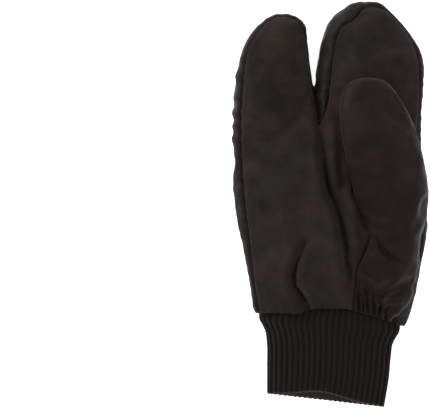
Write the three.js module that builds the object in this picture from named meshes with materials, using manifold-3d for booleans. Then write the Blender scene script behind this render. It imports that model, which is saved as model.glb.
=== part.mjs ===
// A split-finger mitt for cross-country skiing, right hand, lying on its back with the palm up.
// It is a hollow padded shell with a wide sheath for the index and middle finger, a narrower one for the ring
// and little finger, a long thumb that folds over the palm, and a rib-knit cuff.
// Millimetres. +Y points to the fingertips, +X to the thumb side, +Z up out of the palm.
// The origin is on the surface that the mitt lies on, under the middle of its outline.

import * as THREE from "three";
import { mergeVertices } from "three/addons/utils/BufferGeometryUtils.js";
import Module from "manifold-3d";

const wasm = await Module();
wasm.setup();

// Driving sizes
const PALM_WALL = 3.4; // suede, foam and fleece
const BACK_WALL = 4.6; // nylon, wadding and fleece
const SIDE_WALL = 4.0;
const THUMB_WALL = 3.2;
const CUFF_WALL = 2.6; // two layers of rib knit
const SEAM_GAP = 0.4; // between neighbouring panels
const SQUARENESS = 2.4; // 2 is an ellipse, more is boxier
const BODY_SIDES = 48;
const FINGER_SIDES = 24;
const THUMB_SIDES = 26;
const INNER_SIDES = 20;
const RIBS = 44;
const RIB_DEPTH = 0.9;
const POINTS_PER_RIB = 3;
const MOUTH_Y = -83; // where the shell ends on the cuff, at the middle
const SOCKET_Y = -72; // how far the shell's mouth is hollowed to take the cuff
const HOLLOW_END_Y = -78; // the hand's own space ends here, inside the mouth
const FLATTENING = 2; // how far the back would bulge below the ground if nothing pressed it flat
const GATHER_COUNT = 12;
const GATHER_DEPTH = 1.3;
const GATHER_START_Y = -58;
const PALM_SEAM_Z = 19; // the palm panel lies above this height
const GUSSET_LOW_Z = 9; // the strip between the fingers lies above this height
const PATCH_TOP_Z = 19; // the fingertip patch lies below this height
const NARROWEST = 6; // a section narrower than this has no room for a hollow or a panel
const TOOL_LOW = -40; // cutting tools reach this far down
const TOOL_HIGH = 100; // and this far up
const FAR = 200; // past the mitt in any direction

// Sections of the hand from the finger fork to the wrist. left and right are the outline seen from above,
// side is the height of the widest line, and slant skews a section so that its right end is lower.
const BODY = [
  { y: 84, left: -54, right: 54, top: 23, side: 18, bottom: 12, slant: 0 },
  { y: 76, left: -64, right: 60, top: 29, side: 17.5, bottom: 5, slant: 0 },
  { y: 64, left: -68.5, right: 63, top: 33, side: 17, bottom: 0, slant: 0 },
  { y: 48, left: -70, right: 64.4, top: 35.5, side: 17, bottom: -2, slant: 0 },
  { y: 30, left: -70.2, right: 64.4, top: 36, side: 17, bottom: -2, slant: 0 },
  { y: 14, left: -69.4, right: 65.6, top: 36, side: 17, bottom: -2, slant: 0 },
  { y: 0, left: -68, right: 68.4, top: 37, side: 17, bottom: -2, slant: 0 },
  { y: -15, left: -65.5, right: 70.2, top: 38, side: 17, bottom: -2, slant: 0 },
  { y: -32, left: -62, right: 67.6, top: 38, side: 17, bottom: -2, slant: 0 },
  { y: -50, left: -59.4, right: 64.4, top: 37, side: 16.5, bottom: -2, slant: -0.02 },
  { y: -66, left: -56.8, right: 60.6, top: 35, side: 16, bottom: -1.8, slant: -0.05 },
  { y: -76, left: -55.4, right: 58, top: 32.5, side: 15.5, bottom: -1.2, slant: -0.075 },
  { y: MOUTH_Y, left: -52.6, right: 55, top: 28.6, side: 14.5, bottom: 0.2, slant: -0.085 },
];

// Sections of the ring and little finger's sheath, from its tip down into the hand
const RING_SHEATH = [
  { y: 137.4, left: -38, right: -31, top: 20, side: 17, bottom: 14, slant: 0 },
  { y: 134.8, left: -44.4, right: -24, top: 25, side: 17, bottom: 9.5, slant: 0 },
  { y: 128.8, left: -51.8, right: -18.8, top: 29, side: 17, bottom: 5.5, slant: 0 },
  { y: 118, left: -60, right: -16.4, top: 31.6, side: 16.5, bottom: 2, slant: 0 },
  { y: 105, left: -65, right: -15, top: 33, side: 16.5, bottom: -0.5, slant: 0 },
  { y: 88, left: -68.4, right: -12.6, top: 34, side: 16.5, bottom: -2, slant: 0 },
  { y: 68, left: -69.4, right: -9.5, top: 34.6, side: 17, bottom: -2, slant: 0 },
  { y: 48, left: -68, right: -7, top: 33.6, side: 17, bottom: -1.6, slant: 0 },
  { y: 34, left: -63, right: -9, top: 29, side: 17, bottom: 1, slant: 0 },
];

// Sections of the index and middle finger's sheath
const INDEX_SHEATH = [
  { y: 145.6, left: 20, right: 35, top: 21, side: 18, bottom: 15, slant: 0 },
  { y: 144, left: 14.6, right: 37.4, top: 25, side: 18, bottom: 11, slant: 0 },
  { y: 140, left: 8.6, right: 42.4, top: 28.6, side: 17.5, bottom: 7.5, slant: 0 },
  { y: 133.4, left: 1, right: 49, top: 31.4, side: 17.5, bottom: 4.5, slant: 0 },
  { y: 122, left: -4.6, right: 58, top: 33.4, side: 17, bottom: 1.6, slant: 0 },
  { y: 108, left: -8, right: 65, top: 34.6, side: 17, bottom: -0.8, slant: 0 },
  { y: 92, left: -10.2, right: 67, top: 35, side: 17, bottom: -2, slant: 0 },
  { y: 74, left: -11, right: 65.6, top: 35, side: 17, bottom: -2, slant: 0 },
  { y: 50, left: -9, right: 63, top: 34, side: 17, bottom: -1.6, slant: 0 },
  { y: 36, left: -5, right: 58, top: 29, side: 17, bottom: 1, slant: 0 },
];

// Sections of the thumb, from its tip over the palm down to the wrist, where it is the heel of the palm
const THUMB = [
  { y: 91.6, left: 21, right: 32, top: 49, side: 45.5, bottom: 42, slant: 0 },
  { y: 89.6, left: 14, right: 38, top: 53, side: 45.5, bottom: 38.8, slant: 0 },
  { y: 84, left: 8.6, right: 44.4, top: 56.4, side: 46, bottom: 37, slant: 0 },
  { y: 74, left: 6, right: 51, top: 59, side: 46.5, bottom: 36.6, slant: 0 },
  { y: 60, left: 6.2, right: 58, top: 60.4, side: 46.5, bottom: 36.6, slant: 0 },
  { y: 42, left: 8.6, right: 63.8, top: 60.4, side: 45.5, bottom: 36.6, slant: 0 },
  { y: 24, left: 12.4, right: 67.2, top: 58.6, side: 43.5, bottom: 33.6, slant: 0 },
  { y: 8, left: 16.4, right: 69.6, top: 55.6, side: 40, bottom: 27, slant: 0 },
  { y: -6, left: 21, right: 68.6, top: 51.6, side: 34, bottom: 21, slant: 0 },
  { y: -22, left: 25, right: 65.4, top: 46.4, side: 29, bottom: 18, slant: 0 },
  { y: -42, left: 20.4, right: 62, top: 41.4, side: 26, bottom: 17, slant: -0.01 },
  { y: -60, left: 16.6, right: 58.4, top: 37.6, side: 24, bottom: 16, slant: -0.04 },
  { y: -76, left: 16, right: 54.6, top: 33.6, side: 22, bottom: 14, slant: -0.075 },
  { y: MOUTH_Y, left: 16, right: 51, top: 29.6, side: 20, bottom: 12, slant: -0.085 },
];

// Height of the seam between the thumb's nylon front and its suede back, along the thumb
const THUMB_SEAM = [
  { y: FAR, z: 46 },
  { y: 74, z: 46 },
  { y: 30, z: 43 },
  { y: 6, z: 34 },
  { y: -18, z: 18 },
  { y: -34, z: -10 },
];

// Sections of the cuff. Its top end sits in the shell's mouth; lean sets the lower layer beyond the upper one.
const CUFF = [
  { y: -74, left: -47.6, right: 48.4, top: 23.6, side: 14.5, bottom: 5.4, slant: -0.085, lean: 0 },
  { y: -85, left: -48.6, right: 50, top: 23.8, side: 14, bottom: 4.8, slant: -0.085, lean: 0 },
  { y: -92, left: -46.4, right: 47, top: 22.6, side: 12.4, bottom: 1.6, slant: -0.095, lean: 0.05 },
  { y: -99, left: -45, right: 44.4, top: 21.4, side: 11, bottom: 0, slant: -0.1, lean: 0.1 },
  { y: -119, left: -45.2, right: 42.6, top: 20.4, side: 10, bottom: 0, slant: -0.115, lean: 0.2 },
  { y: -139.6, left: -45, right: 40, top: 19.6, side: 9.8, bottom: 0, slant: -0.12, lean: 0.3 },
];

// Creases pressed into the palm: a row is one stretch of a groove.
const PALM_CREASES = [
  { fromX: -8, fromY: 62, toX: -5, toY: 40, depth: 2.2, width: 6 },
  { fromX: -5, fromY: 40, toX: 2.7, toY: 3, depth: 2.2, width: 5 },
  { fromX: 2.7, fromY: 3, toX: 12, toY: -40, depth: 2.0, width: 5 },
  { fromX: -24, fromY: -42, toX: -17, toY: -78, depth: 1.6, width: 5 },
];

// How far the palm panel's edge lies inside the outline
const PALM_INSET = { left: 4.6, right: 4, tip: 4.4, ringRight: 1.2, indexLeft: 8, heel: 5 };

// The strip between the fingers: its left and right edge seen from above
const GUSSET_EDGES = [
  { y: 150, left: -25, right: 19 },
  { y: 138, left: -24, right: 13 },
  { y: 128, left: -21.5, right: 6 },
  { y: 112, left: -19, right: 1.5 },
  { y: 90, left: -16.5, right: -2 },
  { y: 70, left: -13, right: -5.5 },
  { y: 60, left: -10.5, right: -8.5 },
];

// The suede patch on the index fingertip: its left edge seen from above; it runs to the outline on the right.
const PATCH_EDGE = [
  { x: 27, y: 150 },
  { x: 22, y: 138 },
  { x: 24, y: 124 },
  { x: 30, y: 111 },
  { x: 41, y: 102 },
  { x: 56, y: 97 },
  { x: 75, y: 92 },
];

function distanceToSegment(x, y, crease) {
  const segment = new THREE.Line3(
    new THREE.Vector3(crease.fromX, crease.fromY, 0),
    new THREE.Vector3(crease.toX, crease.toY, 0),
  );
  const point = new THREE.Vector3(x, y, 0);
  return segment.closestPointToPoint(point, true, new THREE.Vector3()).distanceTo(point);
}

function creaseDepth(x, y) {
  const depths = PALM_CREASES.map((crease) => {
    const distance = distanceToSegment(x, y, crease);
    return crease.depth * Math.exp(-((distance / crease.width) ** 2));
  });
  return Math.max(...depths);
}

// Signed power, which makes a superellipse out of a circle
function squared(value) {
  return Math.sign(value) * Math.abs(value) ** (2 / SQUARENESS);
}

// A point of a section at an angle; angle 0 is the right side and a quarter turn is the top.
function sectionPoint(row, angle, grow) {
  const middleX = (row.left + row.right) / 2;
  const halfWidth = (row.right - row.left) / 2 + grow;
  const rise = squared(Math.sin(angle));
  const reach = rise >= 0 ? row.top - row.side + grow : row.side - row.bottom + grow;
  const x = middleX + halfWidth * squared(Math.cos(angle));
  const z = row.side + reach * rise;
  const skew = row.slant * x + (row.lean ?? 0) * (z - row.side);
  return new THREE.Vector3(x, row.y + skew, z);
}

// The gathers swell and pinch the shell where it is drawn in at the wrist.
function gathered(point, row, angle) {
  const pull = THREE.MathUtils.clamp((GATHER_START_Y - row.y) / (GATHER_START_Y - MOUTH_Y), 0, 1);
  const swell = GATHER_DEPTH * pull ** 2 * Math.cos(GATHER_COUNT * angle);
  const middle = new THREE.Vector3((row.left + row.right) / 2, point.y, row.side);
  const outward = point.clone().sub(middle).normalize();
  return point.addScaledVector(outward, swell - GATHER_DEPTH * pull ** 2);
}

function creased(point, row) {
  if (point.z > row.side) {
    point.z -= creaseDepth(point.x, point.y);
  }
  return point;
}

// A closed tube through rings of points, with flat ends. The rings run towards -Y, each anticlockwise from the
// right side over the top.
function tubeGeometry(rings) {
  const sides = rings[0].length;
  const positions = [];
  const faces = [];
  rings.flat().forEach((point) => positions.push(point.x, point.y, point.z));
  for (let ring = 0; ring + 1 < rings.length; ring += 1) {
    for (let side = 0; side < sides; side += 1) {
      const next = (side + 1) % sides;
      const a = ring * sides + side;
      const b = ring * sides + next;
      faces.push(a, b + sides, a + sides, a, b, b + sides);
    }
  }
  const ends = [
    { ring: 0, flip: false },
    { ring: rings.length - 1, flip: true },
  ];
  ends.forEach(({ ring, flip }) => {
    const middle = new THREE.Vector3();
    rings[ring].forEach((point) => middle.addScaledVector(point, 1 / sides));
    const centre = positions.length / 3;
    positions.push(middle.x, middle.y, middle.z);
    for (let side = 0; side < sides; side += 1) {
      const a = ring * sides + side;
      const b = ring * sides + ((side + 1) % sides);
      faces.push(centre, flip ? a : b, flip ? b : a);
    }
  });
  const geometry = new THREE.BufferGeometry();
  geometry.setAttribute("position", new THREE.Float32BufferAttribute(positions, 3));
  geometry.setIndex(faces);
  return geometry;
}

// A closed mesh as a solid that can be joined and cut
function solidOf(geometry) {
  const bare = geometry.clone();
  bare.deleteAttribute("normal");
  bare.deleteAttribute("uv");
  const merged = mergeVertices(bare, 1e-4);
  const solid = new wasm.Manifold(
    new wasm.Mesh({
      numProp: 3,
      vertProperties: merged.attributes.position.array,
      triVerts: new Uint32Array(merged.index.array),
    }),
  );
  return solid;
}

function loft(rows, sides, grow, shape = (point) => point) {
  const rings = rows.map((row) =>
    Array.from({ length: sides }, (_, side) => {
      const angle = (2 * Math.PI * side) / sides;
      return shape(sectionPoint(row, angle, grow), row, angle);
    }),
  );
  return solidOf(tubeGeometry(rings));
}

// The space inside a sheath: every side moves in by the wall, and so does the tip.
function hollowRows(rows, wall) {
  return rows
    .map((row) => ({
      ...row,
      y: Math.min(row.y, rows[0].y - wall.tip),
      left: row.left + wall.side,
      right: row.right - wall.side,
      top: row.top - wall.top,
      bottom: row.bottom + wall.bottom,
    }))
    .filter((row, index, all) => index + 1 === all.length || row.y > all[index + 1].y + 0.5)
    .filter((row) => row.right - row.left > NARROWEST && row.top - row.bottom > NARROWEST);
}

// A solid box between two corners
function block(low, high) {
  const size = new THREE.Vector3().subVectors(high, low);
  const geometry = new THREE.BoxGeometry(size.x, size.y, size.z);
  const middle = new THREE.Vector3().addVectors(low, high).multiplyScalar(0.5);
  return solidOf(geometry.translate(middle.x, middle.y, middle.z));
}

// An upright prism over an outline of points in the plane
function prism(outline, lowZ, highZ) {
  const shape = new THREE.Shape(outline.map(([x, y]) => new THREE.Vector2(x, y)));
  const geometry = new THREE.ExtrudeGeometry(shape, { depth: highZ - lowZ, bevelEnabled: false });
  return solidOf(geometry.translate(0, 0, lowZ));
}

// The outline of a sheath seen from above, drawn in by an inset on each side
function insetOutline(rows, inset, tip, grow) {
  const kept = rows.filter((row) => row.right - row.left > inset.left + inset.right + NARROWEST);
  const shift = (row) => Math.min(row.y, rows[0].y - tip + grow);
  const right = kept.map((row) => [row.right - inset.right + grow, shift(row)]);
  const left = kept.map((row) => [row.left + inset.left - grow, shift(row)]);
  const corners = [...left.reverse(), ...right];
  const closest = 0.2;
  return corners.filter(([x, y], index) => {
    const [nextX, nextY] = corners[(index + 1) % corners.length];
    return Math.hypot(nextX - x, nextY - y) > closest;
  });
}

function palmPrism(grow) {
  const low = PALM_SEAM_Z - grow;
  const ring = insetOutline(
    RING_SHEATH,
    { left: PALM_INSET.left, right: PALM_INSET.ringRight },
    PALM_INSET.tip,
    grow,
  );
  const index = insetOutline(
    INDEX_SHEATH,
    { left: PALM_INSET.indexLeft, right: PALM_INSET.right },
    PALM_INSET.tip,
    grow,
  );
  const forkY = 70;
  const palmRows = BODY.filter((row) => row.y < forkY);
  const wrist = { ...BODY.at(-1), y: SOCKET_Y + MOUTH_Y / 2 };
  const body = insetOutline(
    [...palmRows, wrist],
    { left: PALM_INSET.left, right: PALM_INSET.heel },
    0,
    grow,
  );
  return [index, body].reduce(
    (joined, outline) => joined.add(prism(outline, low, TOOL_HIGH)),
    prism(ring, low, TOOL_HIGH),
  );
}

function gussetPrism(grow) {
  const left = GUSSET_EDGES.map((row) => [row.left - grow, row.y]);
  const right = GUSSET_EDGES.map((row) => [row.right + grow, row.y]);
  const low = GUSSET_EDGES.at(-1);
  const foot = [(low.left + low.right) / 2, low.y - grow];
  return prism([...left, foot, ...right.reverse()], GUSSET_LOW_Z - grow, TOOL_HIGH);
}

function patchPrism(grow) {
  const edge = PATCH_EDGE.map((point) => [point.x - grow, point.y - grow]);
  const beyond = [
    [FAR, PATCH_EDGE.at(-1).y - grow],
    [FAR, FAR],
    [PATCH_EDGE[0].x - grow, FAR],
  ];
  return prism([...edge, ...beyond], TOOL_LOW, PATCH_TOP_Z);
}

// Everything under the thumb's seam
function thumbUnderside(grow) {
  const seam = THUMB_SEAM.map((row) => [row.y, row.z + grow]);
  const outline = [...seam, [THUMB_SEAM.at(-1).y, TOOL_LOW], [FAR, TOOL_LOW]];
  const geometry = new THREE.ExtrudeGeometry(
    new THREE.Shape(outline.map(([y, z]) => new THREE.Vector2(y, z))),
    { depth: FAR * 2, bevelEnabled: false },
  );
  // The profile is drawn in Y and Z, and its depth runs along X.
  const turn = new THREE.Matrix4().makeBasis(
    new THREE.Vector3(0, 1, 0),
    new THREE.Vector3(0, 0, 1),
    new THREE.Vector3(1, 0, 0),
  );
  return solidOf(geometry.applyMatrix4(turn).translate(-FAR, 0, 0));
}

// The whole outside of the hand, before it is hollowed
function buildOutside() {
  const body = loft(BODY, BODY_SIDES, 0, (point, row, angle) =>
    gathered(creased(point, row), row, angle),
  );
  const ring = loft(RING_SHEATH, FINGER_SIDES, 0);
  const index = loft(INDEX_SHEATH, FINGER_SIDES, 0);
  return body.add(ring).add(index);
}

// The space for the hand, open at the wrist
function buildHollow() {
  const wall = { top: PALM_WALL, bottom: BACK_WALL + FLATTENING, side: SIDE_WALL, tip: SIDE_WALL };
  const bodyWall = { ...wall, tip: 2 * SIDE_WALL };
  const thumbWall = { top: THUMB_WALL, bottom: THUMB_WALL, side: THUMB_WALL, tip: THUMB_WALL };
  const insideMouth = (row) => row.y > HOLLOW_END_Y;
  const spaces = [
    hollowRows(BODY.filter(insideMouth), bodyWall),
    hollowRows(RING_SHEATH, wall),
    hollowRows(INDEX_SHEATH, wall),
    hollowRows(THUMB.filter(insideMouth), thumbWall),
  ];
  return spaces.map((rows) => loft(rows, INNER_SIDES, 0)).reduce((joined, space) => joined.add(space));
}

// The mouth of the shell, which the cuff slides into
function buildSocket() {
  const [end, mouth] = CUFF;
  const beyond = { ...mouth, y: 2 * mouth.y - end.y };
  return loft([{ ...end, y: SOCKET_Y }, mouth, beyond], BODY_SIDES, SEAM_GAP);
}

// The cuff is a tube of ribs: an outer wave less an inner one.
function buildCuff() {
  const sides = RIBS * POINTS_PER_RIB;
  const wave = (depth) => (point, row, angle) => {
    const rib = depth * (0.5 - 0.5 * Math.cos(RIBS * angle));
    const middle = new THREE.Vector3((row.left + row.right) / 2, point.y, row.side);
    const outward = point.clone().sub(middle).normalize();
    return point.addScaledVector(outward, -rib);
  };
  const overrun = 5;
  const beyond = [
    { ...CUFF[0], y: CUFF[0].y + overrun },
    ...CUFF.slice(1, -1),
    { ...CUFF.at(-1), y: CUFF.at(-1).y - overrun },
  ];
  const outside = loft(CUFF, sides, 0, wave(RIB_DEPTH));
  const inside = loft(beyond, RIBS, -CUFF_WALL);
  return outside.subtract(inside);
}

const ground = block(new THREE.Vector3(-FAR, -FAR, 0), new THREE.Vector3(FAR, FAR, FAR));
const thumbOutside = loft(THUMB, THUMB_SIDES, 0);
const thumbRoom = loft(THUMB, THUMB_SIDES, SEAM_GAP);
const handOutside = buildOutside().intersect(ground);
const hollow = buildHollow().add(buildSocket());
const handShell = handOutside.subtract(hollow).subtract(thumbRoom);
const thumbShell = thumbOutside.subtract(hollow);

const palmArea = palmPrism(0);
const palmRoom = palmPrism(SEAM_GAP);
const gussetArea = gussetPrism(0).subtract(palmRoom);
const gussetRoom = gussetPrism(SEAM_GAP);
const patchArea = patchPrism(0);
const patchRoom = patchPrism(SEAM_GAP);

// A cut can leave crumbs beside the panel; only its largest body is the panel.
function largestBody(solid) {
  return solid.decompose().reduce((best, body) => (body.volume() > best.volume() ? body : best));
}

const solids = {
  cuff: buildCuff(),
  palm_panel: handShell.intersect(palmArea),
  finger_gusset: handShell.intersect(gussetArea),
  index_patch: handShell.intersect(patchArea).subtract(palmRoom).subtract(gussetRoom),
  back_panel: handShell.subtract(palmRoom).subtract(gussetRoom).subtract(patchRoom),
  thumb_front: thumbShell.subtract(thumbUnderside(SEAM_GAP / 2)),
  thumb_back: thumbShell.intersect(thumbUnderside(-SEAM_GAP / 2)),
};

// Colours and finishes
const nylon = new THREE.MeshStandardMaterial({ color: 0x2e2a2b, roughness: 0.55, metalness: 0 });
const suede = new THREE.MeshStandardMaterial({ color: 0x272421, roughness: 0.95, metalness: 0 });
const knit = new THREE.MeshStandardMaterial({ color: 0x231f1c, roughness: 0.9, metalness: 0 });
const finishes = {
  cuff: knit,
  palm_panel: suede,
  finger_gusset: nylon,
  index_patch: suede,
  back_panel: nylon,
  thumb_front: nylon,
  thumb_back: suede,
};

const mitt = new THREE.Group();
Object.entries(solids).forEach(([name, solid]) => {
  const mesh = largestBody(solid).getMesh();
  const geometry = new THREE.BufferGeometry();
  geometry.setAttribute("position", new THREE.Float32BufferAttribute(mesh.vertProperties, 3));
  geometry.setIndex([...mesh.triVerts]);
  geometry.computeVertexNormals();
  const panel = new THREE.Mesh(geometry, finishes[name]);
  panel.name = name;
  mitt.add(panel);
});

export default mitt;
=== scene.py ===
"""A split-finger mitt for cross-country skiing, right hand, lying palm up.

The padded shell is one skin, puffed by a cloth simulation, creased, and cut along its seams into panels.
Lengths in the tables and in the shaping code are millimetres; MM turns them into metres when a mesh is made.
+Y points to the fingertips, +X to the thumb side, +Z up out of the palm.
"""
import math

import bpy
import numpy as np
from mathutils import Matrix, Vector, noise


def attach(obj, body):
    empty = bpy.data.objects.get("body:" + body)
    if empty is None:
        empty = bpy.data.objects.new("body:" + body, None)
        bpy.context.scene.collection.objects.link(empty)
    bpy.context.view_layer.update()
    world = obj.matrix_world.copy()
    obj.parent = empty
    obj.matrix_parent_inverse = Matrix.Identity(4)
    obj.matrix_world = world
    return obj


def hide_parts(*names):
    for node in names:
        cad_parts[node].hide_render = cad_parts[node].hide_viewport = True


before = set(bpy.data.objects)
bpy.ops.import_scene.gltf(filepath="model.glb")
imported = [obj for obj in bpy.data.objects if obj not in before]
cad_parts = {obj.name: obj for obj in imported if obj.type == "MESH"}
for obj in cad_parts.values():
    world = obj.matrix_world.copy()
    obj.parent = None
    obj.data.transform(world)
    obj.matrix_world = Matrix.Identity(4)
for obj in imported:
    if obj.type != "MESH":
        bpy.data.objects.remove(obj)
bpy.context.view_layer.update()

MM = 0.001

# How fine the shell is
SECTION_SIDES = 96
SECTION_RINGS = 70
VOXEL = 2.0
SNAP = 0.18  # a corner this close to a seam, as a share of its edge, is moved onto the seam
CREASE_REACH = 4.0  # past this the distance to a crease is not followed
CREASE_ROW = 1.2  # a row of points runs this far to each side of a crease
SQUARENESS = 2.4  # 2 would make each section an ellipse; more makes it boxier

# Sections of the padded shell, as columns y, left, right, top, side, bottom, slant. left and right are the
# outline seen from above, side is the height of the widest line, and slant puts a section's right end lower.
HAND = (
    (84, -54, 54, 23, 18, 12, 0),
    (76, -64, 60, 29, 17.5, 5, 0),
    (64, -68.5, 65, 33, 17, 0, 0),
    (48, -70, 65.4, 35.5, 17, -2, 0),
    (30, -70.4, 65, 36, 17, -2, 0),
    (14, -70, 66.4, 36, 17, -2, 0),
    (0, -69, 69.4, 37, 17, -2, 0),
    (-15, -66.4, 71.2, 38, 17, -2, 0),
    (-32, -62.2, 68, 38, 17, -2, 0),
    (-50, -59.4, 64.4, 37, 16.5, -2, -0.02),
    (-66, -57, 60.6, 35, 16, -1.8, -0.05),
    (-77, -56, 57, 32, 15.5, -1.2, -0.08),
    (-82.6, -54.6, 54.6, 29, 14.6, 0.4, -0.085),
)
# The wrist end turns in and goes back up along the cuff.
HAND_HEM = (
    (-83.8, -52.4, 53.2, 27.2, 14.4, 2.0, -0.085),
    (-83.4, -51.0, 51.8, 26.0, 14.4, 3.4, -0.085),
    (-81.5, -50.2, 51.0, 25.4, 14.4, 4.0, -0.085),
    (-73, -49.4, 50.6, 24.8, 14.5, 4.6, -0.085),
)
RING_SHEATH = (
    (137.4, -38, -31, 20, 17, 14, 0),
    (134.8, -44.4, -23, 25, 17, 9.5, 0),
    (128.8, -51.8, -17.8, 29, 17, 5.5, 0),
    (118, -60, -16.2, 31.6, 16.5, 2, 0),
    (105, -65, -15, 33, 16.5, -0.5, 0),
    (88, -68.4, -13.8, 34, 16.5, -2, 0),
    (78, -69.2, -13.2, 34.4, 16.8, -2, 0),
    (67, -69.4, -8.5, 34.6, 17, -2, 0),
    (48, -68, -7, 33.6, 17, -1.6, 0),
    (34, -63, -9, 29, 17, 1, 0),
)
INDEX_SHEATH = (
    (145.6, 20, 35, 21, 18, 15, 0),
    (144, 14.6, 37.4, 25, 18, 11, 0),
    (140, 8.6, 42.4, 28.6, 17.5, 7.5, 0),
    (133.4, 1, 49.4, 31.4, 17.5, 4.5, 0),
    (122, -4.6, 58.6, 33.4, 17, 1.6, 0),
    (108, -7.8, 66, 34.6, 17, -0.8, 0),
    (92, -9.4, 68, 35, 17, -2, 0),
    (80, -9.4, 66.8, 35, 17, -2, 0),
    (70, -11.8, 66, 35, 17, -2, 0),
    (50, -9, 64.4, 34, 17, -1.6, 0),
    (36, -5, 58, 29, 17, 1, 0),
)
# The thumb, from its tip over the palm down to the heel of the hand. Its underside is let down onto the
# palm later.
THUMB = (
    (89.2, 21, 31, 51, 48.5, 46, 0),
    (87.4, 14, 37.4, 54.4, 48, 43, 0),
    (82, 8.4, 43.6, 57, 47.5, 40.6, 0),
    (72.2, 5.8, 50, 59, 47.5, 40, 0),
    (58.6, 6, 57, 60.4, 47.5, 40, 0),
    (41, 8.4, 63, 60.4, 46.5, 39.6, 0),
    (24, 12.4, 66.8, 58.6, 44, 36, 0),
    (8, 16.4, 69.6, 55.6, 40, 28, 0),
    (-6, 21.2, 68.6, 51.6, 34, 21, 0),
    (-20, 23.6, 65.4, 46.4, 29, 18, 0),
    (-42, 14.6, 62, 41.4, 30, 24, -0.01),
    (-60, 8.4, 58.4, 37.8, 25, 20, -0.04),
    (-66, 8.4, 57, 36.4, 25, 21, -0.05),
    (-74, 10, 50, 34.2, 27.4, 26.4, -0.075),
    (-81, 12, 45, 30.4, 27.6, 26.6, -0.085),
)
THUMB_FREE_Y = (14, 40)  # from the first to the second its underside comes free of the palm
THUMB_REST_GAP = 0.5
THUMB_LOWEST = 32  # past the palm's edge its underside hangs no lower than this

# Sections of the cuff, with the column lean: it sets the lower layer beyond the upper one.
CUFF = (
    (-64, -46, 47, 23.2, 14.5, 5.6, -0.085, 0),
    (-76, -48.6, 49.6, 23.8, 14.2, 5, -0.085, 0),
    (-83, -51, 50.8, 24, 14, 4.4, -0.088, 0),
    (-87.4, -50.8, 50.2, 23.6, 13.4, 3.2, -0.092, 0),
    (-91.4, -48.6, 48, 22.8, 12.6, 2, -0.094, 0.01),
    (-96.5, -46.4, 45.6, 21.8, 11.6, 1.2, -0.097, 0.03),
    (-104, -45.4, 44.6, 21, 10.6, 0.6, -0.1, 0.05),
    (-121, -45.2, 43, 20.2, 10, 0.4, -0.106, 0.07),
    (-140.6, -45.2, 39.8, 19.6, 9.8, 0.4, -0.114, 0.08),
)
CUFF_WALL = 2.4
# The cuff's upper layer is drawn up a little, so the ribbed inside of the lower one shows: as its place
# across, its half width and its height
CUFF_LIFT_X = -7
CUFF_LIFT_WIDTH = 22
CUFF_LIFT = 5.5
CUFF_LIFT_Y = (-122, -142)  # it sets in between these
RIBS = 48
RIB_POINTS = 10
RIB_DEPTH = 1.5
RIB_DEPTH_INSIDE = 0.8
CUFF_RINGS = 98

# Seams, seen from above. The palm's outline goes round from the wrist up the little finger's side.
PALM_OUTLINE = (
    (-49.5, -92), (-51.5, -78), (-54.5, -60), (-56.5, -45), (-58.5, -25.7), (-60.9, -6.4), (-62.8, 12.8),
    (-64.2, 30), (-64.7, 47), (-64.9, 61), (-64.3, 75), (-63.3, 89.5), (-61.8, 101), (-59.8, 110.5),
    (-55.6, 119.4), (-51, 126.4), (-46.4, 131.6), (-41, 134.8), (-35, 135.8), (-28, 134.8), (-22, 131),
    (-18.4, 124.4), (-16.4, 113), (-15, 100), (-13.4, 88), (-11.8, 77), (-10, 67), (-8.8, 58.5),
    (-6.4, 61), (-3.4, 67.5), (-1.4, 77.8), (-0.2, 91), (1.1, 105.1), (2.5, 114.5), (4.6, 122.4),
    (8.1, 128), (14.2, 131), (18.6, 134.6), (21.6, 139), (26.2, 142), (33.6, 141.8), (40.4, 139.4),
    (49.4, 131.6), (57.6, 120.6), (61.8, 111.7), (63.7, 102.3), (64.6, 91), (64.6, 72), (63.7, 57),
    (61.6, 40), (60, 20), (56, 0), (50, -40), (44, -92),
)
PALM_LOW_Z = 18  # the palm panel stays above this height
# The strip between the fingers, from the ring sheath's tip down into the fork and up the index sheath
GUSSET_OUTLINE = (
    (-24, 150), (-22.6, 136), (-20, 122), (-17, 104), (-14, 88), (-11.4, 73), (-8.8, 56.5),
    (-5.4, 64), (-0.6, 80), (2.4, 100), (8, 120), (15, 128), (20, 133), (23, 138), (24.4, 143), (25, 152),
)
GUSSET_LOW_Z = 9
# The suede patch on the back of the index fingertip
PATCH_OUTLINE = (
    (26, 160), (24.6, 146), (22.6, 136), (23.6, 124), (28.4, 113), (36.6, 105.6), (47, 100.6), (58, 97.6),
    (70, 95), (85, 95), (85, 160),
)
PATCH_HIGH_Z = 18
# Height of the seam between the thumb's nylon front and its suede back, as columns y and z
THUMB_SEAM = (
    (-34, -10),
    (-18, 20),
    (6, 36),
    (30, 46),
    (74, 50),
    (100, 50),
)
SEAM_DEPTH = 1.5
SEAM_WIDTH = 1.0
SEAM_LIP = 0.2
SEAM_GAP = 0.15  # how far each panel's edge stays back from the seam
SEAM_PUCKER = 0.3
SEAM_PUCKER_PITCH = 7.0
PUCKER_REACH = 4.5

# How the padding swells
PUFF_FRAMES = 20
PUFF_PRESSURE = 4
PUFF_SLACK = 0.035  # how much more cloth there is than skin
PUFF_CAP = 2.2
# The skin is held still near a seam and at the hem, from the second number on
HELD_BY_SEAM = (3.5, 1.5)
HELD_BY_HEM = (-74, -80)
PUFF_EVENING = 3  # passes that even out the simulation's smallest wrinkles

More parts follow.
